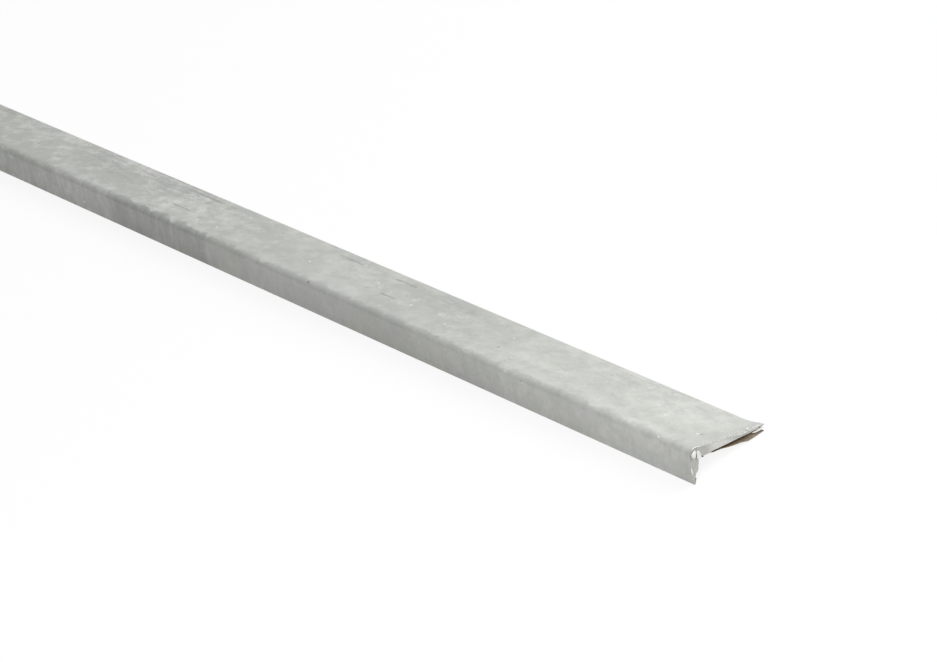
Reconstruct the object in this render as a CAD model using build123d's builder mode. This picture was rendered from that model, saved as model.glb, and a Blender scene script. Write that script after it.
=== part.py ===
"""Self-adhesive corner profile for stair nosings and floor edges.

An aluminium angle with a wide tapered flange and a short lip, wrapped in a thin printed foil.
The foil runs from under the flange's back edge, over the top and round the nose, down the
lip's face and a little way up behind it. A strip of double-sided tape lies in a shallow recess
under the flange, and its paper liner has let go and sags at the sawn end.

The angle lies as it comes to rest on a level floor, foil side up: on the tip of its lip and on
the back edge of its flange, so that the flange slopes down towards the back.
+X runs along the stock towards the end with the sagging liner, +Y goes from the lip to the
flange's back edge and +Z is up. The origin is on the floor, in the middle of the outline seen
from above. All sizes are in millimetres.
"""

import os
from math import atan2, cos, sin, sqrt

from build123d import *

# Outside sizes, over the foil
LENGTH = 1000.0
FLANGE_WIDTH = 24.5
PROFILE_HEIGHT = 10.0
NOSE_RADIUS = 2.0
BACK_EDGE_RADIUS = 0.4
LIP_TIP_RADIUS = 0.4

# Aluminium angle
UNDERSIDE_DEPTH = 3.2
LIP_ROOT = 2.8
INNER_FILLET = 0.8

# Foil
FOIL_THICKNESS = 0.2
WRAP_UNDER_FLANGE = 1.2
WRAP_BEHIND_LIP = 1.6

# Tape in its recess
TAPE_WIDTH = 16.0
TAPE_THICKNESS = 0.5
RECESS_DEPTH = 0.4
TAPE_PLAY = 0.2
BACK_LAND = 1.1

# Liner, and the creases that fan out over the end of it that has let go.
# Places across the liner are shares of its width, counted from its front edge.
LINER_THICKNESS = 0.12
LINER_FRONT_OVERHANG = 0.3
LINER_BACK_OVERHANG = 1.0
PEEL_LENGTH = 14.0
PEEL_START_PLACE = 0.5
FRONT_CREASE_PLACE = 0.32
FRONT_CREASE_DROP = 0.95
BACK_CREASE_PLACE = 0.7
BACK_CREASE_DROP = 1.35

# Circles that the section is drawn round: u runs back from the lip's face, v up from the nose
NOSE_CENTRE = (NOSE_RADIUS, -NOSE_RADIUS)
BACK_CENTRE = (
    FLANGE_WIDTH - BACK_EDGE_RADIUS,
    -UNDERSIDE_DEPTH + BACK_EDGE_RADIUS - FOIL_THICKNESS,
)
TIP_CENTRE = (LIP_TIP_RADIUS, -PROFILE_HEIGHT + LIP_TIP_RADIUS)
NOSE_CORE = NOSE_RADIUS - FOIL_THICKNESS
BACK_CORE = BACK_EDGE_RADIUS - FOIL_THICKNESS
TIP_CORE = LIP_TIP_RADIUS - FOIL_THICKNESS
INNER_CORNER = (LIP_ROOT, -UNDERSIDE_DEPTH)

# Tape and liner across the flange
TAPE_BACK = FLANGE_WIDTH - WRAP_UNDER_FLANGE - BACK_LAND - TAPE_PLAY
TAPE_FRONT = TAPE_BACK - TAPE_WIDTH
TAPE_TOP = -UNDERSIDE_DEPTH + RECESS_DEPTH
LINER_TOP = TAPE_TOP - TAPE_THICKNESS
LINER_FRONT = TAPE_FRONT - LINER_FRONT_OVERHANG
LINER_BACK = TAPE_BACK + LINER_BACK_OVERHANG
LINER_WIDTH = LINER_BACK - LINER_FRONT
FRONT_CREASE = LINER_FRONT + FRONT_CREASE_PLACE * LINER_WIDTH
BACK_CREASE = LINER_FRONT + BACK_CREASE_PLACE * LINER_WIDTH
PEEL_START = LINER_FRONT + PEEL_START_PLACE * LINER_WIDTH


def touch_points(centre_1, radius_1, centre_2, radius_2):
    """Where a straight line touches two circles, on the left going from the first to the second."""
    span = Vector(*centre_2) - Vector(*centre_1)
    along = span.normalized()
    lean = (radius_1 - radius_2) / span.length
    normal = along * lean + along.rotate(Axis.Z, 90) * sqrt(1 - lean**2)
    return Vector(*centre_1) + normal * radius_1, Vector(*centre_2) + normal * radius_2


# The floor touches the wrapped back edge and the wrapped tip
back_foot, lip_foot = touch_points(BACK_CENTRE, BACK_EDGE_RADIUS, TIP_CENTRE, LIP_TIP_RADIUS)
REST_TILT = atan2(back_foot.Y - lip_foot.Y, back_foot.X - lip_foot.X)


def turned(point):
    """The section point (u, v) as (y, z) once the section is tilted to rest, before it is moved."""
    u, v = point
    return (
        u * cos(REST_TILT) + v * sin(REST_TILT),
        -u * sin(REST_TILT) + v * cos(REST_TILT),
    )


front_reach = min(
    turned(NOSE_CENTRE)[0] - NOSE_RADIUS,
    turned(TIP_CENTRE)[0] - LIP_TIP_RADIUS,
)
back_reach = turned(BACK_CENTRE)[0] + BACK_EDGE_RADIUS
floor_level = turned(TIP_CENTRE)[1] - LIP_TIP_RADIUS

mid_section = Plane(
    origin=(0, -(front_reach + back_reach) / 2, -floor_level),
    x_dir=(0, cos(REST_TILT), -sin(REST_TILT)),
    z_dir=(1, 0, 0),
)
far_end = mid_section.offset(-LENGTH / 2)
near_end = mid_section.offset(LENGTH / 2)
peel_section = mid_section.offset(LENGTH / 2 - PEEL_LENGTH)


# The bare angle's outline, without the recess
nose_top, back_top = touch_points(NOSE_CENTRE, NOSE_CORE, BACK_CENTRE, BACK_CORE)
lip_root, lip_inner = touch_points(INNER_CORNER, 0, TIP_CENTRE, TIP_CORE)
nose_u, nose_v = NOSE_CENTRE
back_u, back_v = BACK_CENTRE
tip_u, tip_v = TIP_CENTRE

with BuildSketch() as angle_blank:
    with BuildLine():
        Line(nose_top, back_top)
        ThreePointArc(back_top, (back_u + BACK_CORE, back_v), (back_u, back_v - BACK_CORE))
        Line((back_u, back_v - BACK_CORE), lip_root)
        Line(lip_root, lip_inner)
        ThreePointArc(lip_inner, (tip_u, tip_v - TIP_CORE), (tip_u - TIP_CORE, tip_v))
        Line((tip_u - TIP_CORE, tip_v), (nose_u - NOSE_CORE, nose_v))
        RadiusArc((nose_u - NOSE_CORE, nose_v), nose_top, NOSE_CORE)
    make_face()
    inner_corner = angle_blank.vertices().sort_by_distance(INNER_CORNER)[0]
    fillet(inner_corner, INNER_FILLET)

# Aluminium angle, with the tape's recess along its underside
with BuildPart() as profile_core:
    with BuildSketch(far_end):
        add(angle_blank.sketch)
        with Locations((TAPE_FRONT - TAPE_PLAY, -UNDERSIDE_DEPTH)):
            Rectangle(
                TAPE_WIDTH + 2 * TAPE_PLAY,
                RECESS_DEPTH,
                align=(Align.MIN, Align.MIN),
                mode=Mode.SUBTRACT,
            )
    extrude(amount=LENGTH)

# Printed foil: a skin all round the angle, taken away again where the angle stays bare
with BuildPart() as decor_foil:
    with BuildSketch(far_end):
        add(angle_blank.sketch)
        offset(amount=FOIL_THICKNESS)
        add(angle_blank.sketch, mode=Mode.SUBTRACT)
        bare_width = FLANGE_WIDTH - WRAP_UNDER_FLANGE - TIP_CENTRE[0]
        bare_height = BACK_CENTRE[1] + PROFILE_HEIGHT - WRAP_BEHIND_LIP
        with Locations((TIP_CENTRE[0], WRAP_BEHIND_LIP - PROFILE_HEIGHT)):
            Rectangle(
                bare_width,
                bare_height,
                align=(Align.MIN, Align.MIN),
                mode=Mode.SUBTRACT,
            )
    extrude(amount=LENGTH)

# Double-sided tape, a little thicker than its recess is deep
with BuildPart() as adhesive_tape:
    with BuildSketch(far_end):
        with Locations((TAPE_FRONT, TAPE_TOP)):
            Rectangle(TAPE_WIDTH, TAPE_THICKNESS, align=(Align.MIN, Align.MAX))
    extrude(amount=LENGTH)


# Paper liner: a flat strip against the tape. At the near end it is creased down from one point,
# by adding the sagging wedge one thickness lower and then taking the wedge itself away.
with BuildPart() as release_liner:
    with BuildSketch(far_end):
        with Locations((LINER_FRONT, LINER_TOP)):
            Rectangle(LINER_WIDTH, LINER_THICKNESS, align=(Align.MIN, Align.MAX))
    extrude(amount=LENGTH)
    for top, mode in (
        (LINER_TOP - LINER_THICKNESS, Mode.ADD),
        (LINER_TOP, Mode.SUBTRACT),
    ):
        with BuildSketch(near_end) as mouth:
            Polygon(
                (LINER_FRONT, top),
                (FRONT_CREASE, top - FRONT_CREASE_DROP),
                (BACK_CREASE, top - BACK_CREASE_DROP),
                (LINER_BACK, top),
                align=None,
            )
        start = Vertex(peel_section.from_local_coords((PEEL_START, top, 0)))
        loft([start, mouth.sketch], ruled=True, mode=mode)

profile_core.part.label = "profile_core"
decor_foil.part.label = "decor_foil"
adhesive_tape.part.label = "adhesive_tape"
release_liner.part.label = "release_liner"

os.makedirs("parts", exist_ok=True)
export_step(profile_core.part, "parts/profile_core.step")
export_step(decor_foil.part, "parts/decor_foil.step")
export_step(adhesive_tape.part, "parts/adhesive_tape.step")
export_step(release_liner.part, "parts/release_liner.step")
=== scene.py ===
import math

import bmesh
import bpy
from bpy.props import FloatProperty, FloatVectorProperty, PointerProperty
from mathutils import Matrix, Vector, noise


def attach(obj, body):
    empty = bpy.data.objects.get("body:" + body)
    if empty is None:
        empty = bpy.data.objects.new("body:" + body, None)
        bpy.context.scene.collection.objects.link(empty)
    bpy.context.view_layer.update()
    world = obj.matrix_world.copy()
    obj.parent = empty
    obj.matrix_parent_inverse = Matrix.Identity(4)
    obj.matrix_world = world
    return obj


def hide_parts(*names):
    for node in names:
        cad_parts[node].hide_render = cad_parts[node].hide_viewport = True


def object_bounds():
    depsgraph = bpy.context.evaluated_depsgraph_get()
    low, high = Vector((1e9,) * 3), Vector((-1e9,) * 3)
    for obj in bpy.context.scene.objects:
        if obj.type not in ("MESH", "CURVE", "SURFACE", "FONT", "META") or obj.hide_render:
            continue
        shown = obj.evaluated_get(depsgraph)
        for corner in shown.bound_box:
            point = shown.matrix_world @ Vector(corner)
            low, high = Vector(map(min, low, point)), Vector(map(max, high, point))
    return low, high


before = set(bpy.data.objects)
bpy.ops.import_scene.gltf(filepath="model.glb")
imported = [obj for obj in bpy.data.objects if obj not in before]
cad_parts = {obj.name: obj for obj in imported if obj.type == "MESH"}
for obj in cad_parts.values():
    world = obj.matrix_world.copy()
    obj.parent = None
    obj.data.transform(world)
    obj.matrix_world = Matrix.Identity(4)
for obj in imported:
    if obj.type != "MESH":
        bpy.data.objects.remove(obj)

bl_info = {
    "name": "Foil-wrapped corner profile",
    "version": (1, 0, 0),
    "blender": (4, 5, 0),
    "location": "3D View > Sidebar > Profile",
    "description": "Dresses a self-adhesive corner profile: foil, sawn aluminium, tape and paper liner",
    "category": "Object",
}

CAD_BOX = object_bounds()
METRE = 1000.0  # in millimetres
HALF_LENGTH = round(CAD_BOX[1][0] * METRE, 3)

# The section, in millimetres: u runs back from the lip's face, v up from the top of the nose
FLANGE_WIDTH = 24.5
PROFILE_HEIGHT = 10.0
NOSE_RADIUS = 2.0
BACK_RADIUS = 0.4
TIP_RADIUS = 0.4
UNDERSIDE = 3.2
LIP_ROOT = 2.8
LIP_TAPER = 0.3125
INNER_FILLET = 0.8
FOIL = 0.2
WRAP_UNDER_FLANGE = 1.2
WRAP_BEHIND_LIP = 1.6
RECESS_DEPTH = 0.4
RECESS_FRONT = 5.8
RECESS_BACK = 22.2
TAPE_PLAY = 0.2
TAPE_THICKNESS = 0.5
LINER_FRONT = 5.7
LINER_BACK = 23.0
LINER_THICKNESS = 0.12

NOSE_CENTRE = Vector((NOSE_RADIUS, -NOSE_RADIUS))
BACK_CENTRE = Vector((FLANGE_WIDTH - BACK_RADIUS, BACK_RADIUS - UNDERSIDE - FOIL))
TIP_CENTRE = Vector((TIP_RADIUS, TIP_RADIUS - PROFILE_HEIGHT))
INNER_CORNER = Vector((LIP_ROOT, -UNDERSIDE))
RECESS_TOP = RECESS_DEPTH - UNDERSIDE
LINER_TOP = RECESS_TOP - TAPE_THICKNESS

# Angles past which an edge stays sharp
SHEET_FOLD = math.radians(50)
SAWN_EDGE = math.radians(28)

# The plainest flecks of the print, as places on the foil
PALE_FLECKS = (
    (263.4, -3, 7.13), (310.3, -0.2, 5.94), (362.3, -0.1, 5.91), (493, -2, 6.69), (498.9, 9.1, 2.16),
)
DARK_FLECKS = ((323.9, -9.56, 9.11), (406.9, -2, 6.7))
# Its plainest dark strokes: the middle of each, half its length and half its breadth
STROKES = (
    ((236, 10.1, 1.75), 20, 0.75), ((239, -0.8, 6.2), 11, 0.55), ((318, 9.2, 2.1), 9, 0.6),
    ((346, 9.2, 2.1), 8, 0.65), ((351.5, -0.5, 6.1), 4, 0.8),
)

# Where the print and its painted light and shade change: each pair says where a change has not begun and
# where it is whole.
# Along the stock
SHADED_FAR = (445, 370)
CLOUD_FAR, CLOUD_NEAR = (335, 350), (392, 368)
LIT_NEAR, DARKER_AT_END = (452, 480), (488, 497)
UNEVEN_FAR = (300, 245)
PATCH_FAR, PATCH_NEAR = (205, 215), (269, 265)
CHIPPED, TORN_RIM, LOOSE_CORNER = (498.2, 499.6), (499.5, 499.75), (496.5, 499)
# Across it, from the lip's face to the back edge
NOSE_LINE, NOSE_HIGHLIGHT = (-8, -8.7), (-8, -9.6)
LIP_LOWER, LIP_UPPER = (-9.8, -11), (-10.5, -9.8)
RIM_FRONT, RIM_BACK, CHIPS_FRONT = (-9.5, -9), (-7.3, -7.9), (-9.5, -8)
STREAKS_BACK, VEINS_BACK, CORNER_BACK = (3, 8), (-4, 4), (10.6, 11.6)

# Colours that no setting holds
MARK_WHITE = (0.84, 0.84, 0.81)
CHIP_WHITE = (0.88, 0.88, 0.85)
SMEAR_GREY = (0.6, 0.6, 0.57)
SAWN_DARK, SAWN_LIGHT, SAWN_PALE_AND_LIT = (0.36, 0.365, 0.33), (0.5, 0.505, 0.47), (0.88, 0.88, 0.86)
TORN_PAPER = (0.22, 0.17, 0.11)
GLUE = (0.05, 0.046, 0.04)


def touch_points(centre_1, radius_1, centre_2, radius_2):
    """Where a line touches two circles, on the left going from the first to the second."""
    span = centre_2 - centre_1
    along = span.normalized()
    lean = (radius_1 - radius_2) / span.length
    normal = along * lean + Vector((-along.y, along.x)) * math.sqrt(1 - lean * lean)
    return centre_1 + normal * radius_1, centre_2 + normal * radius_2


BACK_FOOT, LIP_FOOT = touch_points(BACK_CENTRE, BACK_RADIUS, TIP_CENTRE, TIP_RADIUS)
REST_TILT = math.atan2(BACK_FOOT.y - LIP_FOOT.y, BACK_FOOT.x - LIP_FOOT.x)


def turned(u, v):
    """A section point turned to the resting tilt, before the section is moved."""
    cos, sin = math.cos(REST_TILT), math.sin(REST_TILT)
    return Vector((u * cos + v * sin, v * cos - u * sin))


MOVE_Y = -(turned(*TIP_CENTRE).x - TIP_RADIUS + turned(*BACK_CENTRE).x + BACK_RADIUS) / 2
MOVE_Z = TIP_RADIUS - turned(*TIP_CENTRE).y


def place(x, u, v):
    """A section point (u, v) at x along the stock, in millimetres, as a point of the frame."""
    point = turned(u, v)
    return Vector((x, point.x + MOVE_Y, point.y + MOVE_Z)) / METRE


def floor_under(u):
    """The section height v of the floor below u."""
    return LIP_FOOT.y + (u - LIP_FOOT.x) * math.tan(REST_TILT)


def level(table, at):
    """A value read between the rows of a table of (place, value), and held past its ends."""
    if at <= table[0][0]:
        return table[0][1]
    for (start, first), (stop, second) in zip(table, table[1:]):
        if at <= stop:
            return first + (second - first) * (at - start) / (stop - start)
    return table[-1][1]


def smooth(low, high, value):
    """0 below low and 1 above high, with a smooth rise between. low may be the larger one."""
    share = min(max((value - low) / (high - low), 0), 1)
    return share * share * (3 - 2 * share)


def near_share(x, start, stop=0):
    """0 further than start millimetres from the near end and 1 nearer than stop, smooth between."""
    return smooth(HALF_LENGTH - start, HALF_LENGTH - stop, x)


def wander(x, y=0, z=0):
    """Smooth noise between about -1 and 1 that is the same in every run."""
    return noise.noise(Vector((x, y, z)))


def tinted(colour, *shares):
    """A colour with its channels multiplied by one share, or by a share each."""
    return [channel * share for channel, share in zip(colour, shares if len(shares) > 1 else shares * 3)]


def arc(centre, radius, start, end, steps):
    """Points and outward normals of an arc, with angles in radians."""
    marks = []
    for step in range(steps + 1):
        angle = start + (end - start) * step / steps
        normal = Vector((math.cos(angle), math.sin(angle)))
        marks.append((centre + normal * radius, normal))
    return marks


def run(start, end, normal, steps):
    """Points and normals of a straight run, without its two ends."""
    return [(start.lerp(end, step / steps), normal) for step in range(1, steps)]


def angle_of(vector):
    return math.atan2(vector.y, vector.x)


def skin_path():
    """The wrapped outline, from under the back edge over the nose to behind the lip."""
    top_nose, top_back = touch_points(NOSE_CENTRE, NOSE_RADIUS, BACK_CENTRE, BACK_RADIUS)
    up = (top_nose - NOSE_CENTRE).normalized()
    root, inner = touch_points(INNER_CORNER, FOIL, TIP_CENTRE, TIP_RADIUS)
    inward = (inner - TIP_CENTRE).normalized()
    under = BACK_CENTRE - Vector((0, BACK_RADIUS))
    wrap_start = Vector((FLANGE_WIDTH - WRAP_UNDER_FLANGE, under.y))
    wrap_end = inner.lerp(root, (WRAP_BEHIND_LIP - PROFILE_HEIGHT - inner.y) / (root.y - inner.y))
    down, front = Vector((0, -1)), Vector((-1, 0))
    marks = [(wrap_start, down)]
    marks += run(wrap_start, under, down, steps=4)
    marks += arc(BACK_CENTRE, BACK_RADIUS, -math.pi / 2, angle_of(up), steps=12)
    marks += run(top_back, top_nose, up, steps=44)
    marks += arc(NOSE_CENTRE, NOSE_RADIUS, angle_of(up), math.pi, steps=20)
    marks += run(Vector((0, NOSE_CENTRE.y)), Vector((0, TIP_CENTRE.y)), front, steps=14)
    marks += arc(TIP_CENTRE, TIP_RADIUS, math.pi, 2 * math.pi + angle_of(inward), steps=12)
    marks += run(inner, wrap_end, inward, steps=4)
    marks.append((wrap_end, inward))
    return marks


def bare_outline():
    """The bare aluminium's outline with its recess, counter-clockwise from the back edge."""
    nose, back, tip = NOSE_RADIUS - FOIL, BACK_RADIUS - FOIL, TIP_RADIUS - FOIL
    top_nose = touch_points(NOSE_CENTRE, nose, BACK_CENTRE, back)[0]
    up = angle_of(top_nose - NOSE_CENTRE)
    root, inner = touch_points(INNER_CORNER, 0, TIP_CENTRE, tip)
    inward = angle_of(inner - TIP_CENTRE)
    marks = arc(BACK_CENTRE, back, -math.pi / 2, up, steps=8)
    marks += run(marks[-1][0], top_nose, None, steps=24)
    marks += arc(NOSE_CENTRE, nose, up, math.pi, steps=18)
    marks += run(marks[-1][0], TIP_CENTRE - Vector((tip, 0)), None, steps=8)
    marks += arc(TIP_CENTRE, tip, math.pi, 2 * math.pi + inward, steps=8)

    down = (inner - root).normalized()
    opening = math.acos(down.x)
    reach = INNER_FILLET / math.tan(opening / 2)
    bisector = (down + Vector((1, 0))).normalized()
    centre = INNER_CORNER + bisector * (INNER_FILLET / math.sin(opening / 2))
    start = angle_of(INNER_CORNER + down * reach - centre) % (2 * math.pi)
    marks += run(inner, INNER_CORNER + down * reach, None, steps=14)
    marks += arc(centre, INNER_FILLET, start, math.pi / 2, steps=8)

    recess = (
        (RECESS_FRONT, -UNDERSIDE), (RECESS_FRONT, RECESS_TOP),
        (RECESS_BACK, RECESS_TOP), (RECESS_BACK, -UNDERSIDE),
    )
    return [point for point, _ in marks] + [Vector(corner) for corner in recess]


def stations(near_step=0.4, near_reach=12, far_reach=3, step=10, far_steps=4, crowding=1.3):
    """Places along the stock from the far end on, closer together towards both ends."""
    start, stop = -HALF_LENGTH + far_reach, HALF_LENGTH - near_reach
    places = [-HALF_LENGTH + far_reach * (part / far_steps) ** 2 for part in range(far_steps + 1)]
    count = round((stop - start) / step)
    places += [start + (stop - start) * part / count for part in range(1, count + 1)]
    count = round(near_reach / near_step)
    places += [stop + near_reach * (1 - (1 - part / count) ** crowding) for part in range(1, count + 1)]
    return places


def new_object(name, data):
    """A scene object round a mesh, a lamp or a camera."""
    added = bpy.data.objects.new(name, data)
    bpy.context.scene.collection.objects.link(added)
    return added


def worked_piece(name, work):
    """A piece made from bmesh work, which ends with it."""
    mesh = bpy.data.meshes.new(name)
    work.to_mesh(mesh)
    work.free()
    mesh.shade_smooth()
    return new_object(name, mesh)


def grid_piece(name, rows):
    """A piece with one quad between each four neighbours in rows of points."""
    width = len(rows[0])
    points = [point for row in rows for point in row]
    faces = [
        (start + at, start + at + 1, start + width + at + 1, start + width + at)
        for start in range(0, width * (len(rows) - 1), width)
        for at in range(width - 1)
    ]
    mesh = bpy.data.meshes.new(name)
    mesh.from_pydata(points, [], faces)
    mesh.shade_smooth()
    return new_object(name, mesh)


def thicken(piece, thickness, offset, rounded=False):
    """Gives a sheet its thickness in millimetres: offset -1 grows it inwards, 0 both ways."""
    solid = piece.modifiers.new("thickness", "SOLIDIFY")
    solid.thickness = thickness / METRE
    solid.offset = offset
    solid.use_even_offset = True
    if rounded:
        finer = piece.modifiers.new("rounded", "SUBSURF")
        finer.levels = finer.render_levels = 1
    sheet = piece.data
    shaped = piece.evaluated_get(bpy.context.evaluated_depsgraph_get())
    piece.data = bpy.data.meshes.new_from_object(shaped)
    piece.data.name = piece.name
    piece.modifiers.clear()
    bpy.data.meshes.remove(sheet)
    if not rounded:
        piece.data.set_sharp_from_angle(angle=SHEET_FOLD)


def finish_piece(piece, material):
    """Gives a piece its material and its place on the stock."""
    piece.data.materials.append(material)
    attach(piece, "root")


class Value:
    """A number that varies over a surface. Arithmetic on it adds Math nodes."""

    def __init__(self, nodes, node, socket):
        self.nodes = nodes
        self.node = node
        self.socket = socket

    def part(self, name):
        """Another outlet of the same node."""
        return Value(self.nodes, self.node, find_socket(self.node.outputs, name))

    def __abs__(self):
        return self.nodes.maths("ABSOLUTE", self)

    def __add__(self, other):
        return self.nodes.maths("ADD", self, other)

    def __radd__(self, other):
        return self.nodes.maths("ADD", other, self)

    def __sub__(self, other):
        return self.nodes.maths("SUBTRACT", self, other)

    def __rsub__(self, other):
        return self.nodes.maths("SUBTRACT", other, self)

    def __mul__(self, other):
        return self.nodes.maths("MULTIPLY", self, other)

    def __rmul__(self, other):
        return self.nodes.maths("MULTIPLY", other, self)

    def __gt__(self, other):
        return self.nodes.maths("GREATER_THAN", self, other)


def find_socket(sockets, key):
    """A node's socket by name, or by number among those that its settings leave in use."""
    used = [socket for socket in sockets if not socket.is_unavailable]
    if isinstance(key, int):
        return used[key]
    return next(socket for socket in used if socket.name == key)


class Nodes:
    """The nodes of a material or of the world."""

    def __init__(self, owner):
        owner.use_nodes = True
        self.tree = owner.node_tree
        self.tree.nodes.clear()

    def node(self, kind, settings, inputs, outlet=0):
        """A node with its settings made first, then its sockets' values or links."""
        node = self.tree.nodes.new(kind)
        for name, setting in settings.items():
            setattr(node, name, setting)
        for key, content in inputs.items():
            socket = find_socket(node.inputs, key)
            if isinstance(content, Value):
                self.tree.links.new(content.socket, socket)
            elif socket.type == "RGBA" and len(content) == 3:
                socket.default_value = (*content, 1)
            else:
                socket.default_value = content
        return Value(self, node, find_socket(node.outputs, outlet)) if node.outputs else None

    def maths(self, operation, *operands):
        return self.node("ShaderNodeMath", {"operation": operation}, dict(enumerate(operands)))

    def vector(self, operation, *operands, outlet="Vector"):
        return self.node("ShaderNodeVectorMath", {"operation": operation}, dict(enumerate(operands)), outlet)


class Finish(Nodes):
    """A material and the ways of building its nodes."""

    # How noise is moved along each axis by a shift, to draw another part of it
    SHIFT = (1, 0.7, 1.3)
    # The full part of a round dot's radius and of a stroke's breadth, inside their soft rims,
    # and how far a stroke's rim wanders, in breadths
    DOT_CORE = 0.45
    STROKE_CORE = 0.4
    RAGGED = 3.0

    def __init__(self, name):
        self.material = bpy.data.materials.new(name)
        super().__init__(self.material)
        self.spot = self.node("ShaderNodeTexCoord", {}, {}, "Object")

    def stretched(self, x=1, y=1, z=1, shift=0):
        """The place on the object in millimetres, with each direction scaled, then shifted."""
        scaled = self.vector("MULTIPLY", self.spot, (METRE * x, METRE * y, METRE * z))
        return self.vector("ADD", scaled, [shift * share for share in self.SHIFT])

    def spot_on(self, axis):
        """The place along the stock (X) or across it (Y), in millimetres."""
        return self.node("ShaderNodeSeparateXYZ", {}, {0: self.stretched()}, axis)

    def clouds(self, size, detail=2, rough=0.5, where=None, **stretch):
        """Soft noise round 0.5 with patches of about size millimetres."""
        where = where or self.stretched(**stretch)
        inputs = {"Vector": where, "Scale": 1 / size, "Detail": detail, "Roughness": rough}
        return self.node("ShaderNodeTexNoise", {}, inputs, "Fac")

    def step(self, value, low, high):
        """0 below low and 1 above high, smooth between. low may be the larger one."""
        inputs = {"Value": value, "From Min": low, "From Max": high}
        return self.node("ShaderNodeMapRange", {"interpolation_type": "SMOOTHSTEP"}, inputs)

    def mix(self, share, first, second):
        """Two colours mixed by a share."""
        inputs = {"Factor": share, "A": first, "B": second}
        return self.node("ShaderNodeMix", {"data_type": "RGBA"}, inputs, "Result")

    def laid_over(self, tone, *layers):
        """A colour with others laid over it one after the other, as pairs of share and colour."""
        for share, colour in layers:
            tone = self.mix(share, tone, colour)
        return tone

    def hairlines(self, value, middle, rim, core):
        """Thin lines where a value passes its middle level."""
        return self.step(abs(value - middle), rim, core)

    def cells(self, density, shift=0):
        """The way to the nearest of points that are scattered 1 / density millimetres apart."""
        inputs = {"Vector": self.stretched(shift=shift), "Scale": density}
        return self.node("ShaderNodeTexVoronoi", {}, inputs, "Distance")

    def dots(self, density, shift, radius, share_left_out):
        """Small round dots at scattered points, some of them left out."""
        cells = self.cells(density, shift)
        lottery = self.node("ShaderNodeSeparateColor", {}, {0: cells.part("Color")}, "Red")
        return self.step(cells, radius, radius * self.DOT_CORE) * (lottery > share_left_out)

    def flecks(self, places, radius):
        """Round flecks at places on the surface, in millimetres."""
        here = self.stretched()
        gaps = [self.vector("DISTANCE", here, spot, outlet="Value") for spot in places]
        return sum(self.step(gap, radius, radius * self.DOT_CORE) for gap in gaps)

    def strokes(self, strokes):
        """Long ragged strokes along the stock."""
        ragged = self.clouds(1.5, 3, 0.6, x=0.5, shift=260)
        total = 0.0
        for (x, y, z), length, breadth in strokes:
            share = breadth / length
            gap = self.vector("DISTANCE", self.stretched(x=share), (x * share, y, z), outlet="Value")
            gap = gap + (ragged - 0.5) * breadth * self.RAGGED
            total = self.step(gap, breadth, breadth * self.STROKE_CORE) + total
        return total

    def bumps(self, height, distance, onto=None):
        """A normal from a height, with distance in millimetres for a height of 1."""
        inputs = {"Height": height, "Distance": distance / METRE}
        if onto:
            inputs["Normal"] = onto
        return self.node("ShaderNodeBump", {}, inputs, "Normal")

    def end(self, shader):
        """Ends the material in a shader."""
        self.node("ShaderNodeOutputMaterial", {}, {"Surface": shader})
        return self.material

    def surface(self, inputs):
        """Ends the material in one Principled shader with these sockets."""
        return self.end(self.node("ShaderNodeBsdfPrincipled", {}, inputs, "BSDF"))


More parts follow.
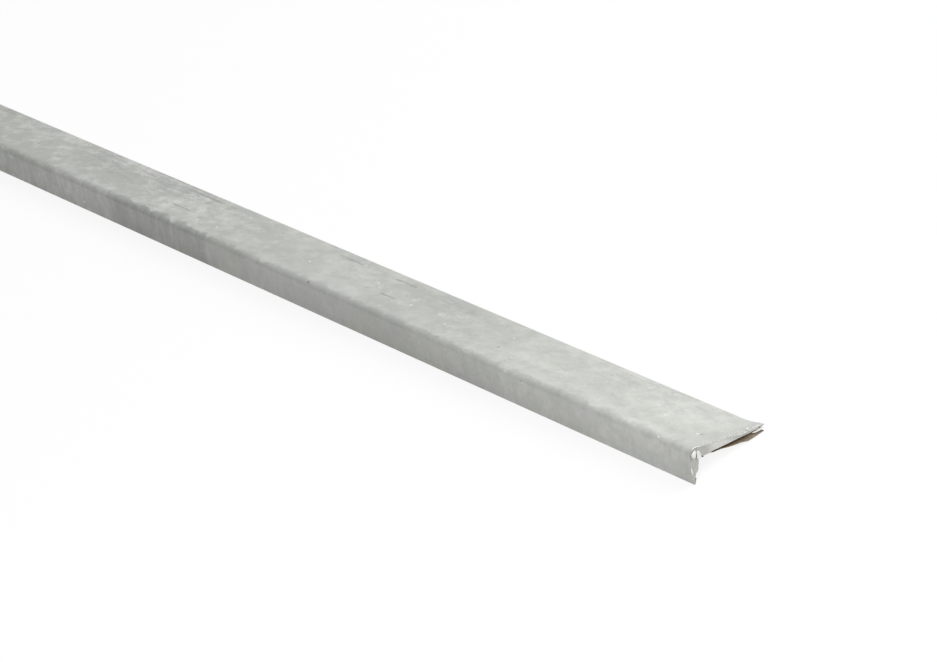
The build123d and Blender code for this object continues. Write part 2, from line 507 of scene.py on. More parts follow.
def concrete_print(light, dark, cool):
    """Matte foil printed like smooth pale concrete."""
    finish = Finish("concrete_print_foil")
    step, clouds = finish.step, finish.clouds
    along, across = finish.spot_on("X"), finish.spot_on("Y")
    broad = clouds(14, 3, 0.55, x=0.5)
    mottle = clouds(4.2, 3, 0.6, x=0.9, shift=40)
    grain = clouds(0.6, shift=90)

    # Trowel marks: thin pale and dark lines in scattered patches
    trowel = finish.hairlines(clouds(4.5, x=0.8, shift=52), 0.5, 0.014, 0.004)
    scrape = finish.hairlines(clouds(5.5, x=0.55, shift=143), 0.48, 0.02, 0.004)
    pale_marks = trowel * step(clouds(7, shift=81), 0.52, 0.62)
    dark_marks = scrape * step(clouds(9, shift=177), 0.54, 0.64)

    # Long uneven streaks, mostly near the back edge, and fine veins between them
    sway = clouds(9, shift=5)
    sideways = finish.node("ShaderNodeCombineXYZ", {}, {"Y": sway, "Z": sway})
    swayed = finish.vector("MULTIPLY_ADD", sideways, (0, 2.4, 2.4), finish.stretched(x=0.06, shift=17))
    threads = clouds(1.7, 3, 0.6, where=swayed)
    patches = clouds(30, 1, 0.4, x=0.45, shift=70)
    streaks = step(threads, 0.54, 0.68) * step(patches, 0.44, 0.6)
    streaks = streaks * (0.06 + 0.94 * step(across, *STREAKS_BACK))
    veins = finish.hairlines(threads, 0.56, 0.03, 0.005)
    veins = veins * step(patches, 0.44, 0.56) * step(across, *VEINS_BACK)

    specks = finish.dots(0.17, 0, 0.075, 0.5) + finish.flecks(PALE_FLECKS, 0.5)
    pits = finish.dots(0.11, 33, 0.06, 0.6) + 1.6 * finish.flecks(DARK_FLECKS, 0.55)
    brushed = clouds(1.6, 3, 0.6, y=0.3, z=0.3, shift=61)

    # Below a ragged line round the nose the lip is painted in shade, more so on its lower part, and the band
    # just above the line gets a painted highlight
    coast = clouds(6, 3, 0.55, x=0.8, shift=201)
    lip = step(across + (coast - 0.5) * 8, *NOSE_LINE)
    lower, upper = step(across, *LIP_LOWER), step(across, *LIP_UPPER)
    bend_highlight = step(across, *NOSE_HIGHLIGHT) * (1 - lip)
    patch = step(along, *PATCH_FAR) * step(along, *PATCH_NEAR)

    # Beyond the last hand's breadth the foil is painted darker, painted shade for the light falling off
    # along the stock, with one cloud of the print darker still
    darker = step(along, *SHADED_FAR)
    cloud = step(along, *CLOUD_FAR) * step(along, *CLOUD_NEAR)
    # Near the end the foil is painted paler, painted light where the light is stronger, and the last
    # millimetres are darker again
    paler = step(along, *LIT_NEAR) - 1.8 * step(along, *DARKER_AT_END)
    uneven = step(along, *UNEVEN_FAR)

    # Where the saw went through, the edge is chipped
    crumbs = clouds(0.55, shift=310)
    chipped = step(along, *CHIPPED)
    pale_chips = chipped * step(crumbs, 0.56, 0.66) * step(across, *CHIPS_FRONT)
    dark_chips = chipped * step(crumbs, 0.42, 0.33) * step(across, *CHIPS_FRONT)
    torn_rim = step(along, *TORN_RIM) * step(across, *RIM_FRONT) * step(across, *RIM_BACK)
    # Near the loose back corner the foil is tinted lilac-grey, painted shade where the corner curls
    corner_curl_shade = step(along, *LOOSE_CORNER) * step(across, *CORNER_BACK)

    shade = 0.5 + (broad - 0.5) * 1.05 + (mottle - 0.5) * 1.4 + (grain - 0.5) * 0.6
    shade = 0.5 + (shade - 0.5) * (1 + 0.8 * uneven) - 0.26 * darker - 0.16 * cloud + 0.12 * paler
    cool_share = step(clouds(20, x=0.6, shift=120), 0.5, 0.7)
    # The depth of the lip's painted shade, deeper on its lower part, with the print's dark patch and brushed
    # streaks in it
    lip_shade_and_print = 0.14 + 0.17 * lower - 0.12 * upper * darker + 0.14 * darker + 0.4 * patch
    lip_shade_and_print = lip_shade_and_print + (brushed - 0.5) * (0.4 + 0.7 * uneven)
    # The print's tone, with painted highlight, painted shade and the print's marks laid over it
    tone = finish.laid_over(
        finish.mix(shade, dark, light),
        (bend_highlight * (0.1 + 0.18 * darker), tinted(light, 1.25)),
        (cool_share * (0.2 + 0.2 * lip * darker), cool),
        (corner_curl_shade * 0.45, tinted(cool, 1.06, 1.04, 1.08)),
        (lip * lip_shade_and_print, tinted(dark, 0.66)),
        (streaks * 0.5, tinted(cool, 0.66)),
        (veins * darker * (0.45 + 0.2 * uneven), tinted(cool, 0.6)),
        (dark_marks * 0.3, tinted(dark, 0.6)),
        (finish.strokes(STROKES) * 0.75, tinted(cool, 0.62)),
        (pits * 0.5, tinted(dark, 0.4)),
        (pale_marks * (0.34 - 0.2 * lip), MARK_WHITE),
        (specks * 0.9, CHIP_WHITE),
        (pale_chips * 0.7 + torn_rim * 0.9, CHIP_WHITE),
        (dark_chips * 0.5, tinted(dark, 0.5)),
    )
    fine = finish.bumps(grain * 0.5 + mottle * 0.5 + specks * 0.6 - pits * 0.8 - dark_marks * 0.3, 0.03)
    return finish.surface({
        "Base Color": tone,
        "Roughness": 0.46 + (grain - 0.5) * 0.2 + streaks * 0.1,
        "Normal": finish.bumps(coast, 0.14, onto=fine),
        "IOR": 1.45,
    })


def sawn_aluminium(colour):
    """Mill-finish aluminium with die lines along the stock, and saw marks over its end faces."""
    finish = Finish("sawn_aluminium")
    step, clouds = finish.step, finish.clouds
    across = finish.spot_on("Y")
    ends = step(abs(finish.spot_on("X")), HALF_LENGTH - 0.15, HALF_LENGTH - 0.05)
    die_lines = clouds(0.35, 3, 0.6, x=0.003)
    saw_lines = clouds(0.22, 3, 0.6, x=0, z=0.12)
    lines = die_lines * (1 - ends) + saw_lines * ends
    stain = clouds(9, 3, 0.55, x=0.2, shift=12)
    grain = clouds(0.25, shift=55)
    milled = finish.mix(0.35 + (stain - 0.5) * 1.2 + (lines - 0.5) * 0.6, colour, tinted(colour, 0.72))
    sawn = finish.mix(0.5 + (lines - 0.5) * 1.2 + (stain - 0.5) * 0.8, SAWN_DARK, SAWN_LIGHT)
    # The flange's sawn face is paler than the lip's, and paler still towards the back edge: partly the
    # burr's bright metal, partly painted light where the loose foil shades it
    paler_and_lit = step(across, -5.8, -2.2) * 0.42 + step(across, 6.5, 9.5) * 0.5
    return finish.surface({
        "Base Color": finish.mix(ends, milled, finish.mix(paler_and_lit, sawn, SAWN_PALE_AND_LIT)),
        "Metallic": 1 - ends * 0.85,
        "Roughness": 0.38 + ends * 0.2 + (grain - 0.5) * 0.25 + (stain - 0.5) * 0.2,
        "Normal": finish.bumps(lines * 0.8 + grain * 0.2, 0.02),
    })


def foil_backing(colour):
    """The white film under the foil's print, seen where flakes of it curl over the sawn end."""
    finish = Finish("white_foil_backing")
    fibres = finish.clouds(0.3, 3, 0.6, x=0.4)
    smears = finish.step(finish.clouds(0.9, shift=8), 0.5, 0.75)
    return finish.surface({
        "Base Color": finish.mix(smears * 0.5, colour, SMEAR_GREY),
        "Roughness": 0.5 + (fibres - 0.5) * 0.3,
        "Normal": finish.bumps(fibres, 0.03),
    })


def foam_tape(colour, name):
    """Dark closed-cell foam tape with a film of glue, papery behind where the liner tore away."""
    finish = Finish(name)
    cells = finish.cells(3.2)
    drag = finish.clouds(2.5, x=0.1)
    behind = finish.step(finish.spot_on("Y") + (drag - 0.5) * 4, 0.5, 3.5)
    papery = finish.step(finish.spot_on("X"), 490, 495) * behind
    foam = finish.mix(cells * 0.8 + (drag - 0.5) * 0.5, colour, tinted(colour, 2.2))
    return finish.surface({
        "Base Color": finish.mix(papery * 0.9, foam, TORN_PAPER),
        "Roughness": 0.55 + (drag - 0.5) * 0.3,
        "Normal": finish.bumps(cells, 0.05),
    })


def kraft_paper(colour):
    """Thin brown kraft paper, yellowed with glue near the sawn end, and there darker towards its front edge
    and at its back corner.
    """
    finish = Finish("brown_kraft_paper")
    step, clouds = finish.step, finish.clouds
    fibres = clouds(0.35, 4, 0.65, x=0.25)
    pulp = clouds(3, 3, 0.6, shift=21)
    flecks = step(clouds(0.6, x=0.6, shift=64), 0.57, 0.66)
    near = step(finish.spot_on("X"), 488, 495)
    across = finish.spot_on("Y") + (pulp - 0.5) * 2.0
    shade = 0.5 + (pulp - 0.5) * 1.4 + (fibres - 0.5) * 0.8
    tone = finish.laid_over(
        finish.mix(shade, tinted(colour, 0.62), tinted(colour, 1.3)),
        (flecks * (0.5 + 0.25 * near), tinted(colour, 0.44, 0.36, 0.32)),
        (near * step(across, 5.5, 1), tinted(colour, 1, 0.86, 0.6)),
        (near * step(across, 2.2, -1) * 0.72, tinted(colour, 0.15)),
        (near * step(across, 8.6, 10.6) * 0.5, tinted(colour, 0.5, 0.54, 0.66)),
    )
    return finish.surface({
        "Base Color": tone,
        "Roughness": 0.62 + (fibres - 0.5) * 0.3,
        "Normal": finish.bumps(fibres * 0.6 + pulp * 0.6, 0.04),
    })


def pale_floor(colour, white_share):
    """A pale matte floor that keeps shadows, and stays light behind the object."""
    finish = Finish("pale_floor")
    patches = finish.step(finish.clouds(300), 0.3, 0.7)
    tone = finish.mix(patches * 0.1, colour, tinted(colour, 0.97))
    matte = finish.node("ShaderNodeBsdfDiffuse", {}, {"Color": tone, "Roughness": 0.9}, "BSDF")
    glow = finish.node("ShaderNodeEmission", {}, {"Color": (1, 1, 1)}, "Emission")
    path = finish.node("ShaderNodeLightPath", {}, {}, "Is Camera Ray")
    seen = finish.maths("MAXIMUM", path, path.part("Is Glossy Ray"))
    seen = finish.maths("MAXIMUM", seen, path.part("Is Transmission Ray"))
    return finish.end(finish.node("ShaderNodeMixShader", {}, {0: seen * white_share, 1: matte, 2: glow}))


# What all colours and all lengths among the settings share
COLOUR = {"subtype": "COLOR", "size": 3, "min": 0, "max": 1}
LENGTH = {"subtype": "DISTANCE", "unit": "LENGTH", "precision": 5}


class SkinSettings(bpy.types.PropertyGroup):
    light_print: FloatVectorProperty(
        name="Light print", description="The print's palest grey", default=(0.66, 0.67, 0.63), **COLOUR,
    )
    dark_print: FloatVectorProperty(
        name="Dark print", description="The print's darkest grey", default=(0.45, 0.46, 0.43), **COLOUR,
    )
    cool_print: FloatVectorProperty(
        name="Cool print", description="The bluish patches of the print", default=(0.5, 0.505, 0.505),
        **COLOUR,
    )
    corner_lift: FloatProperty(
        name="Corner lift", description="How far the foil's loose corner has come up",
        default=0.00066, min=0, max=0.002, **LENGTH,
    )
    corner_reach: FloatProperty(
        name="Corner reach", description="How far the loose corner is drawn out past the sawn end",
        default=0.001, min=0, max=0.003, **LENGTH,
    )
    chip_depth: FloatProperty(
        name="Chip depth", description="How far the foil has chipped back at the nose",
        default=0.00015, min=0, max=0.003, **LENGTH,
    )


class AngleSettings(bpy.types.PropertyGroup):
    metal: FloatVectorProperty(
        name="Metal", description="The aluminium's colour", default=(0.74, 0.75, 0.76), **COLOUR,
    )
    saw_mark: FloatProperty(
        name="Saw mark", description="Depth of the saw's marks over the end face",
        default=0.00003, min=0, max=0.0002, **LENGTH,
    )
    burr_reach: FloatProperty(
        name="Burr reach", description="How far the thin back edge is drawn out past the sawn end",
        default=0.001, min=0, max=0.002, **LENGTH,
    )


class FlakeSettings(bpy.types.PropertyGroup):
    backing: FloatVectorProperty(
        name="Backing", description="Colour of the film under the print", default=(0.74, 0.74, 0.72),
        **COLOUR,
    )
    thickness: FloatProperty(
        name="Thickness", description="Thickness of the curled flakes",
        default=0.00014, min=0.00005, max=0.0004, **LENGTH,
    )


class TapeSettings(bpy.types.PropertyGroup):
    foam: FloatVectorProperty(
        name="Foam", description="The tape's colour", default=(0.085, 0.072, 0.056), **COLOUR,
    )
    torn_back: FloatProperty(
        name="Torn back", description="How far the tape's end has pulled back under the loose liner",
        default=0.0002, min=0, max=0.008, **LENGTH,
    )


class LinerSettings(bpy.types.PropertyGroup):
    paper: FloatVectorProperty(
        name="Paper", description="The liner's colour", default=(0.27, 0.215, 0.15), **COLOUR,
    )
    loose_length: FloatProperty(
        name="Loose length", description="Length of the liner's end that has let go of the tape",
        default=0.015, min=0.002, max=0.1, **LENGTH,
    )
    end_reach: FloatProperty(
        name="End reach", description="How far the liner's back corner stands out past the sawn end",
        default=0.0015, min=0, max=0.003, **LENGTH,
    )


class StageSettings(bpy.types.PropertyGroup):
    floor: FloatVectorProperty(
        name="Floor", description="The floor's colour", default=(0.92, 0.92, 0.92), **COLOUR,
    )
    white_share: FloatProperty(
        name="White share", description="How much of the floor the camera sees as plain white",
        subtype="FACTOR", default=0.85, min=0, max=1,
    )
    key_power: FloatProperty(
        name="Key power", description="Power of the large soft lamp behind the stock", unit="POWER",
        default=12.8, min=0, max=200,
    )
    fill_power: FloatProperty(
        name="Fill power", description="Power of the soft lamp in front of the near end", unit="POWER",
        default=1.5, min=0, max=200,
    )
    world_light: FloatProperty(
        name="World light", description="Strength of the even light all round", default=0.4, min=0, max=2,
    )
    lens: FloatProperty(
        name="Lens", description="The camera's focal length", subtype="DISTANCE_CAMERA", unit="CAMERA",
        default=131.06, min=20, max=400,
    )


class PROFILE_OT_wrap_skin(bpy.types.Operator):
    """Wrap the printed foil round the angle, chipped and lifted at its sawn end"""

    bl_idname = "profile.wrap_skin"
    bl_label = "Wrap printed foil"

    # Across the flange: how far the foil stands out past the sawn end, and how far it has lifted,
    # as shares of the corner's reach and lift
    REACH = (
        (12, 0), (15, 0.5), (17, 1), (18, 0.85), (19, 0.65), (20, 0.5), (21, 0.42),
        (23, 0.42), (24, 0.55), (24.5, 0.95),
    )
    LIFT = ((20.5, 0), (21.5, 0.05), (22.3, 0.3), (23, 0.6), (24, 1), (24.5, 0.95))

    # In millimetres: how far the sawn ends fray, how far the wrap has torn off under the back edge,
    # how far the loose corner spreads backwards, and how far the foil stands up over the nose
    FRAY = 0.05
    FAR_FRAY = 0.06
    TORN_UNDER = 3.2
    SPREAD = 0.6
    RIM = 0.1

    def near_end(self, settings, mark, at):
        """Where the foil ends along the stock, at a mark of the outline and its way round it."""
        (u, v), normal = mark
        fray = self.FRAY * wander(at * 2.3, 1.7) - 0.01
        nose = smooth(3.9, 2.6, u) * smooth(-3.3, -2.3, v)
        teeth = nose * settings.chip_depth * METRE * (1 + 0.8 * wander(at * 1.7, 8.1))
        under = smooth(0.3, -0.5, normal.y) * smooth(20, 22, u)
        torn = under * (self.TORN_UNDER + 0.5 * wander(at * 2, 4.4))
        reach = level(self.REACH, u) * smooth(0.2, 0.9, normal.y) * settings.corner_reach * METRE
        return HALF_LENGTH - fray - teeth - torn + reach

    def point(self, settings, x, mark, at):
        """The foil's point at x along the stock, frayed, lifted and drawn out at the ends."""
        (u, v), normal = mark
        along = x + (self.near_end(settings, mark, at) - HALF_LENGTH) * near_share(x, 9)
        if x < 1 - HALF_LENGTH:
            along += self.FAR_FRAY * (1 + wander(at * 2.1, 5.5))
        top = smooth(0.1, 0.8, normal.y)
        loose = level(self.LIFT, u) * near_share(x, 7, -0.3) * top
        lift = loose * (settings.corner_lift * METRE + 0.1 * wander(x * 0.9, u * 0.7))
        outward = self.SPREAD * smooth(22.5, 24.6, u) * near_share(x, 5) * top
        ease = 0.02 * wander(x * 0.05, at * 0.25, 3)
        rim = smooth(3.6, 2.6, u) * smooth(-0.6, -0.2, v) * near_share(x, 1.2)
        spot = Vector((u + outward, v + lift + self.RIM * rim)) + normal * min(ease, 0)
        return place(along, spot.x, spot.y)

    def execute(self, context):
        settings = context.scene.profile_skin
        marks = skin_path()
        ways = [0.0]
        for (first, _), (second, _) in zip(marks, marks[1:]):
            ways.append(ways[-1] + (second - first).length)
        rows = [[self.point(settings, x, mark, at) for mark, at in zip(marks, ways)] for x in stations()]
        piece = grid_piece("printed_skin", rows)
        thicken(piece, FOIL - 0.04, -1)
        material = concrete_print(settings.light_print, settings.dark_print, settings.cool_print)
        finish_piece(piece, material)
        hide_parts("decor_foil")
        return {"FINISHED"}


class PROFILE_OT_saw_angle(bpy.types.Operator):
    """Build the aluminium angle with its tape recess, sawn end and burrs"""

    bl_idname = "profile.saw_angle"
    bl_label = "Saw aluminium angle"

    # The saw's strips over an end face, in millimetres: how far apart, how many, and where they start
    PITCH = 0.45
    STRIPS = 61
    FIRST_STRIP = Vector((-1.5, -3))
    # Which way the far and the near end face, and how steep the saw went through each, in radians
    FAR_CUT, NEAR_CUT = (-1, -0.35), (1, 0.22)
    # In millimetres: how deep the die has worn the sides, and how far the back edge's burr stands up
    DIE_WEAR = 0.012
    BURR_LIFT = 0.15

    def execute(self, context):
        settings = context.scene.profile_angle
        outline = bare_outline()
        count = len(outline)
        work = bmesh.new()
        rings = []
        for x in stations(near_step=0.8, near_reach=6):
            ring = []
            for u, v in outline:
                worn = min(self.DIE_WEAR * wander(u * 1.9, v * 1.9, x * 0.004), 0) * (u > 3.5)
                ring.append(work.verts.new(place(x, u, v + worn)))
            rings.append(ring)
        for first, second in zip(rings, rings[1:]):
            for at in range(count):
                after = (at + 1) % count
                work.faces.new((first[at], first[after], second[after], second[at]))
        far = work.faces.new(list(reversed(rings[0])))
        near = work.faces.new(rings[-1])
        for face, (side, tilt) in ((far, self.FAR_CUT), (near, self.NEAR_CUT)):
            cap = bmesh.ops.triangulate(work, faces=[face])["faces"]
            self.saw(work, cap, side, tilt, settings)
        bmesh.ops.recalc_face_normals(work, faces=work.faces)
        piece = worked_piece("sawn_angle", work)
        piece.data.set_sharp_from_angle(angle=SAWN_EDGE)
        finish_piece(piece, sawn_aluminium(settings.metal))
        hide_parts("profile_core")
        return {"FINISHED"}

    def saw(self, work, cap, side, tilt, settings):
        """Cuts an end face into the strips that the saw's teeth left, and moves their edges."""
        across = (place(0, math.cos(tilt), math.sin(tilt)) - place(0, 0, 0)).normalized()
        faces = cap
        for line in range(1, self.STRIPS + 1):
            way = line * self.PITCH
            spot = place(0, self.FIRST_STRIP.x + way, self.FIRST_STRIP.y + 0.3 * tilt * way)
            parts = list({part for face in faces for part in (face, *face.edges, *face.verts)})
            result = bmesh.ops.bisect_plane(work, geom=parts, plane_co=spot, plane_no=across, dist=1e-6)
            faces = [part for part in result["geom"] if isinstance(part, bmesh.types.BMFace)]
        for corner in {corner for face in faces for corner in face.verts}:
            way = corner.co.dot(across) * METRE
            mark = wander(way * 1.7, side * 3) * settings.saw_mark
            corner.co.x += side * (mark - settings.saw_mark)
            if side > 0:
                self.drag_burrs(corner)
                back = smooth(10.8, 12.4, corner.co.y * METRE)
                corner.co.x += back * settings.burr_reach * (0.8 + 0.3 * wander(way * 3, 2))
                corner.co.z += back * self.BURR_LIFT / METRE

    def drag_burrs(self, corner):
        """Drags the sawn edges as the saw did: the lip's inner edge, its tip and the recess's edge."""
        across, upward = Vector((0, *turned(1, 0))), Vector((0, *turned(0, 1)))
        offset = corner.co - place(0, 0, 0)
        u, v = offset.dot(across) * METRE, offset.dot(upward) * METRE
        inner = LIP_ROOT + (v + UNDERSIDE) * LIP_TAPER
        share = smooth(0.9, 0.1, inner - u) * smooth(-3.7, -4.6, v)
        push = (0.18 + 0.2 * smooth(-5, -6.1, v)) * smooth(-7.1, -6.7, v)
        push -= 0.22 * smooth(-6.5, -6.95, v) * smooth(-9.8, -9.2, v)
        corner.co += across * (share * push / METRE)
        corner.co.x += 0.4 * smooth(-8.9, -9.7, v) / METRE
        if abs(v - RECESS_TOP) < 0.1 and RECESS_FRONT - 0.1 < u < RECESS_BACK + 0.1:
            corner.co -= upward * ((0.25 + 0.15 * smooth(7.6, 6.6, u)) / METRE)


class PROFILE_OT_curl_flakes(bpy.types.Operator):
    """Curl the torn flakes of white foil backing over the nose and the lip's edge"""

    bl_idname = "profile.curl_flakes"
    bl_label = "Curl torn flakes"

    # How far each flake bulges out of the sawn end, how far its middle is folded in, how far more it
    # stands out towards the back edge, and how far more at its lower edge. Then its left and right
    # edge over the sawn end, row by row from the top: u, v, u, v.
    FLAKES = {
        "torn_flake_nose": (
            0.42, 0.05, 0, 0,
            (1.35, -0.42, 1.8, -0.62), (0.88, -0.65, 1.81, -1.03), (0.39, -0.94, 1.75, -1.5),
            (0.1, -1.3, 1.65, -1.95), (0.25, -1.75, 1.57, -2.3), (0.55, -2.23, 1.29, -2.54),
            (0.82, -2.54, 0.98, -2.61),
        ),
        "torn_flake_inner": (
            0.3, 0.22, 0, 0,
            (2.19, -0.72, 2.9, -1.0), (2.04, -1.13, 3.17, -1.59), (2.0, -1.61, 3.33, -2.15),
            (2.06, -2.21, 3.44, -2.78), (1.97, -2.61, 3.22, -3.13), (2.13, -3.12, 2.71, -3.36),
            (2.22, -3.45, 2.48, -3.55),
        ),
        "torn_sliver_lip": (
            0.22, 0.08, 0, 0,
            (-0.34, -4.8, -0.22, -4.85), (-0.4, -5.25, -0.08, -5.35), (-0.4, -5.75, 0.02, -5.9),
            (-0.32, -6.2, 0.04, -6.35), (-0.22, -6.62, 0.02, -6.72), (-0.12, -7.0, -0.04, -7.05),
        ),
        "torn_wrap_back": (
            0.08, 0, 0.65, 0.2,
            (20.6, -3.1, 24.3, -2.6), (20.8, -3.17, 24.42, -2.68), (21, -3.23, 24.4, -2.76),
            (21.3, -3.27, 24.2, -2.84),
        ),
    }
    # Rows of points from one edge row to the next, and parts across a flake
    FINER = 4
    PARTS = 8
    # In millimetres: how far the flakes stand off the sawn end, and the crumb's place and half sizes
    STAND_OFF = 0.1
    CRUMB_SPOT = (0.05, 3.95, -3.2)
    CRUMB_SIZE = (0.25, 0.2, 0.17)

    def flake_rows(self, seed, bulge, fold, lean, flare, *edges):
        """Rows of points over a flake, from its upper to its lower edge."""
        last = self.FINER * (len(edges) - 1)
        rows = []
        for step in range(last + 1):
            first = min(step // self.FINER, len(edges) - 2)
            edge = Vector(edges[first]).lerp(Vector(edges[first + 1]), step / self.FINER - first)
            down = step / last
            hollow = math.sin(math.pi * down)
            row = []
            for part in range(self.PARTS + 1):
                spot = edge.xy.lerp(edge.zw, part / self.PARTS)
                arch = math.sin(math.pi * part / self.PARTS)
                out = bulge * (0.25 + 0.75 * hollow) * (0.35 + 0.65 * arch)
                out -= fold * arch ** 4 * hollow
                out += 0.06 * wander(down * 5, part * 0.5, seed)
                out += lean * smooth(20, 23, spot.x) + flare * down
                row.append(place(HALF_LENGTH + self.STAND_OFF + max(out, 0), spot.x, spot.y))
            rows.append(row)
        return rows

    def execute(self, context):
        settings = context.scene.profile_flakes
        backing = foil_backing(settings.backing)
        for name, flake in self.FLAKES.items():
            piece = grid_piece(name, self.flake_rows(len(name), *flake))
            thicken(piece, settings.thickness * METRE, 0, rounded=True)
            finish_piece(piece, backing)

        # A crumb of glue in the inner corner
        work = bmesh.new()
        bmesh.ops.create_icosphere(work, subdivisions=3, radius=1)
        past, u, v = self.CRUMB_SPOT
        centre = place(HALF_LENGTH + past, u, v)
        for corner in work.verts:
            swell = 1 + 0.35 * noise.noise(corner.co * 1.3)
            corner.co = centre + Vector(tinted(corner.co, *self.CRUMB_SIZE)) * swell / METRE
        finish_piece(worked_piece("glue_crumb", work), foam_tape(GLUE, "dark_glue"))
        return {"FINISHED"}


class PROFILE_OT_lay_tape(bpy.types.Operator):
    """Lay the foam tape in its recess, torn back where the liner has pulled its end away"""

    bl_idname = "profile.lay_tape"
    bl_label = "Lay foam tape"

    # Parts across the tape, and how far its long sides wander, in millimetres
    PARTS = 32
    WANDER = 0.06

    def execute(self, context):
        settings = context.scene.profile_tape
        front, back = RECESS_FRONT + TAPE_PLAY, RECESS_BACK - TAPE_PLAY
        middle = RECESS_TOP - TAPE_THICKNESS / 2
        rows = []
        for x in stations(near_reach=9):
            row = []
            for part in range(self.PARTS + 1):
                u = front + (back - front) * part / self.PARTS
                torn = 0.2 + settings.torn_back * METRE * smooth(8.5, 14, u)
                torn += 0.35 * wander(u * 1.1, 3) + 0.2 * wander(u * 4, 9)
                inner = min(part / 4, (self.PARTS - part) / 4, 1)
                u += self.WANDER * wander(x * 0.12, part // 16) * (1 - inner)
                row.append(place(x - max(torn, 0.05) * near_share(x, 8), u, middle))
            rows.append(row)
        piece = grid_piece("tape_strip", rows)
        thicken(piece, TAPE_THICKNESS - 0.02, 0)
        finish_piece(piece, foam_tape(settings.foam, "dark_foam_tape"))
        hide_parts("adhesive_tape")
        return {"FINISHED"}


class PROFILE_OT_sag_liner(bpy.types.Operator):
    """Lay the paper liner under the tape, with its near end sagging loose"""

    bl_idname = "profile.sag_liner"
    bl_label = "Sag paper liner"

    # Where the loose end's lower side hangs, as (u, v) across the sawn end
    LOOSE_EDGE = (
        (5.7, -3.44), (8.86, -3.5), (10.24, -3.62), (11.26, -3.78), (12.61, -4.05), (13.61, -4.19),
        (14.55, -4.28), (15.45, -4.28), (16.33, -4.23), (17.47, -4.28), (18.6, -4.43), (19.19, -4.28),
        (19.8, -4.1), (21.07, -3.84), (22.47, -3.53), (23.53, -3.4), (24.1, -3.36),
    )
    PARTS = 36
    # In millimetres: how much wider the loose end is, how far its front corner is cut back and
    # how deep it crumples
    WIDER = 0.95
    CUT_BACK = 0.7
    CRUMPLE = 0.16

    def point(self, settings, x, share):
        """The paper's middle at x along the stock and at a share of its breadth."""
        middle = LINER_TOP - LINER_THICKNESS / 2
        peel = max(0, 1 - (HALF_LENGTH - x) / (settings.loose_length * METRE)) ** 2.2
        edge = min(0.08 * wander(x * 0.06, 2), 0)
        u = LINER_FRONT + share * (LINER_BACK - LINER_FRONT + self.WIDER * near_share(x, 10) + edge)
        drop = (middle - LINER_THICKNESS / 2 - level(self.LOOSE_EDGE, u)) * peel
        crumple = self.CRUMPLE * peel * (1 - peel) * wander(x * 0.45, u * 0.5, 7)
        ripple = 0.03 * wander(x * 0.03, u * 0.15, 1) - 0.03
        v = middle - max(drop - crumple, 0) + min(ripple, 0)
        v = max(v, floor_under(u) + LINER_THICKNESS)
        reach = settings.end_reach * METRE * smooth(13, 22, u) + 0.12 * wander(u * 1.3, 6)
        reach -= self.CUT_BACK * smooth(7.6, 6.4, u)
        return place(x + reach * near_share(x, 8), u, v)

    def execute(self, context):
        settings = context.scene.profile_liner
        shares = [part / self.PARTS for part in range(self.PARTS + 1)]
        places = stations(near_step=0.6, near_reach=20)
        rows = [[self.point(settings, x, share) for share in shares] for x in places]
        piece = grid_piece("liner_sheet", rows)
        thicken(piece, LINER_THICKNESS, 0)
        finish_piece(piece, kraft_paper(settings.paper))
        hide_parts("release_liner")
        return {"FINISHED"}


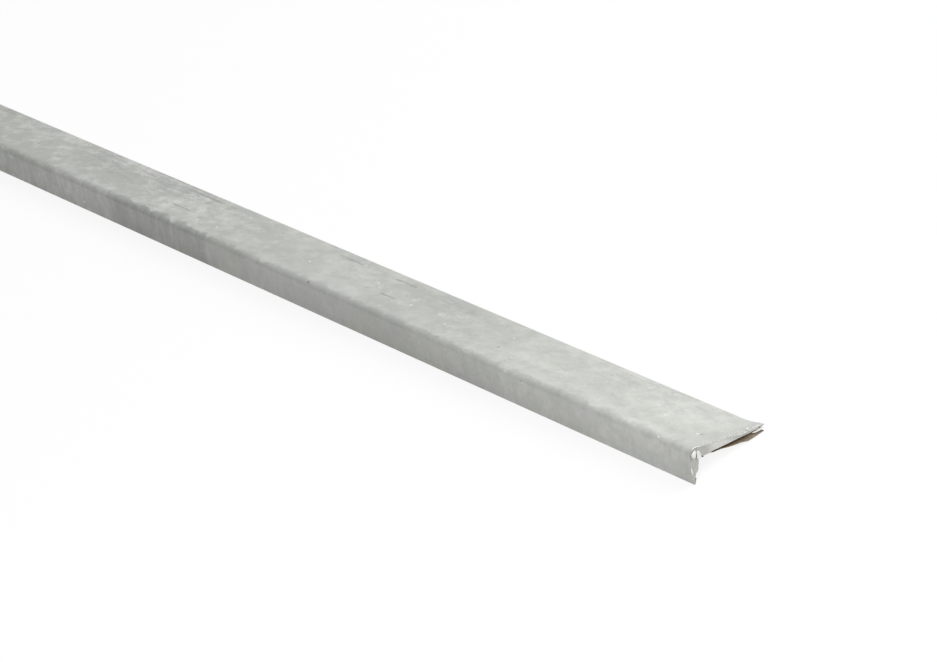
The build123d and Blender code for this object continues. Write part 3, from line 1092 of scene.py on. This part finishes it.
class PROFILE_OT_set_stage(bpy.types.Operator):
    """Lay the pale floor, hang the soft lamps and set the camera"""

    bl_idname = "profile.set_stage"
    bl_label = "Set stage"

    FLOOR_REACH = 6
    # The camera's place in metres and its turn in degrees, fitted to the stock's edges
    CAMERA_SPOT = (1.12512, -0.36299, 0.52066)
    CAMERA_TURN = (55.5335, 19.9069, 50.5718)

    def lamp(self, name, power, size, spot, aim):
        """A square area lamp that faces a place."""
        data = bpy.data.lights.new(name, "AREA")
        data.size, data.energy = size, power
        lamp = new_object(name, data)
        lamp.location = spot
        lamp.rotation_euler = (Vector(aim) - Vector(spot)).to_track_quat("-Z", "Y").to_euler()

    def world(self, strength):
        """A room with even light that the camera sees as white."""
        world = bpy.data.worlds.new("soft_room")
        room = Nodes(world)
        even = room.node("ShaderNodeBackground", {}, {"Color": (1, 1, 1), "Strength": strength})
        white = room.node("ShaderNodeBackground", {}, {"Color": (1, 1, 1)})
        path = room.node("ShaderNodeLightPath", {}, {}, "Is Camera Ray")
        sky = room.node("ShaderNodeMixShader", {}, {0: path, 1: even, 2: white})
        room.node("ShaderNodeOutputWorld", {}, {"Surface": sky})
        return world

    def camera(self, lens):
        """The camera at the photograph's viewing angle."""
        data = bpy.data.cameras.new("camera")
        data.lens = lens
        data.clip_start = 0.01
        camera = new_object("camera", data)
        camera.location = self.CAMERA_SPOT
        camera.rotation_euler = [math.radians(angle) for angle in self.CAMERA_TURN]
        return camera

    def execute(self, context):
        settings = context.scene.profile_stage
        sides = (-self.FLOOR_REACH, self.FLOOR_REACH)
        floor = grid_piece("floor", [[Vector((x, y, 0)) for x in sides] for y in sides])
        floor.data.materials.append(pale_floor(settings.floor, settings.white_share))
        self.lamp("key_behind", settings.key_power, size=0.8, spot=(0.85, 0.85, 0.8), aim=(0.4, 0, 0))
        self.lamp("front_fill", settings.fill_power, size=0.25, spot=(0.85, -0.38, 0.38), aim=(0.5, 0, 0))
        context.scene.world = self.world(settings.world_light)
        context.scene.camera = self.camera(settings.lens)
        context.scene.view_settings.view_transform = "Standard"
        return {"FINISHED"}


# Each step's settings, under their name on the scene, and its operator
STEPS = {
    "profile_stage": (StageSettings, PROFILE_OT_set_stage),
    "profile_skin": (SkinSettings, PROFILE_OT_wrap_skin),
    "profile_angle": (AngleSettings, PROFILE_OT_saw_angle),
    "profile_flakes": (FlakeSettings, PROFILE_OT_curl_flakes),
    "profile_tape": (TapeSettings, PROFILE_OT_lay_tape),
    "profile_liner": (LinerSettings, PROFILE_OT_sag_liner),
}


class PROFILE_PT_pieces(bpy.types.Panel):
    """Sizes, colours and pieces of the corner profile"""

    bl_label = "Corner profile"
    bl_idname = "PROFILE_PT_pieces"
    bl_space_type = "VIEW_3D"
    bl_region_type = "UI"
    bl_category = "Profile"

    def draw(self, context):
        for name, (group, step) in STEPS.items():
            box = self.layout.box()
            settings = getattr(context.scene, name)
            for key in group.__annotations__:
                box.prop(settings, key)
            box.operator(step.bl_idname)


def register():
    for name, (group, step) in STEPS.items():
        bpy.utils.register_class(group)
        setattr(bpy.types.Scene, name, PointerProperty(type=group))
        bpy.utils.register_class(step)
    bpy.utils.register_class(PROFILE_PT_pieces)


def unregister():
    bpy.utils.unregister_class(PROFILE_PT_pieces)
    for name, (group, step) in STEPS.items():
        bpy.utils.unregister_class(step)
        delattr(bpy.types.Scene, name)
        bpy.utils.unregister_class(group)


def main():
    register()
    for _, step in STEPS.values():
        family, action = step.bl_idname.split(".")
        getattr(getattr(bpy.ops, family), action)()


if __name__ == "__main__":
    main()
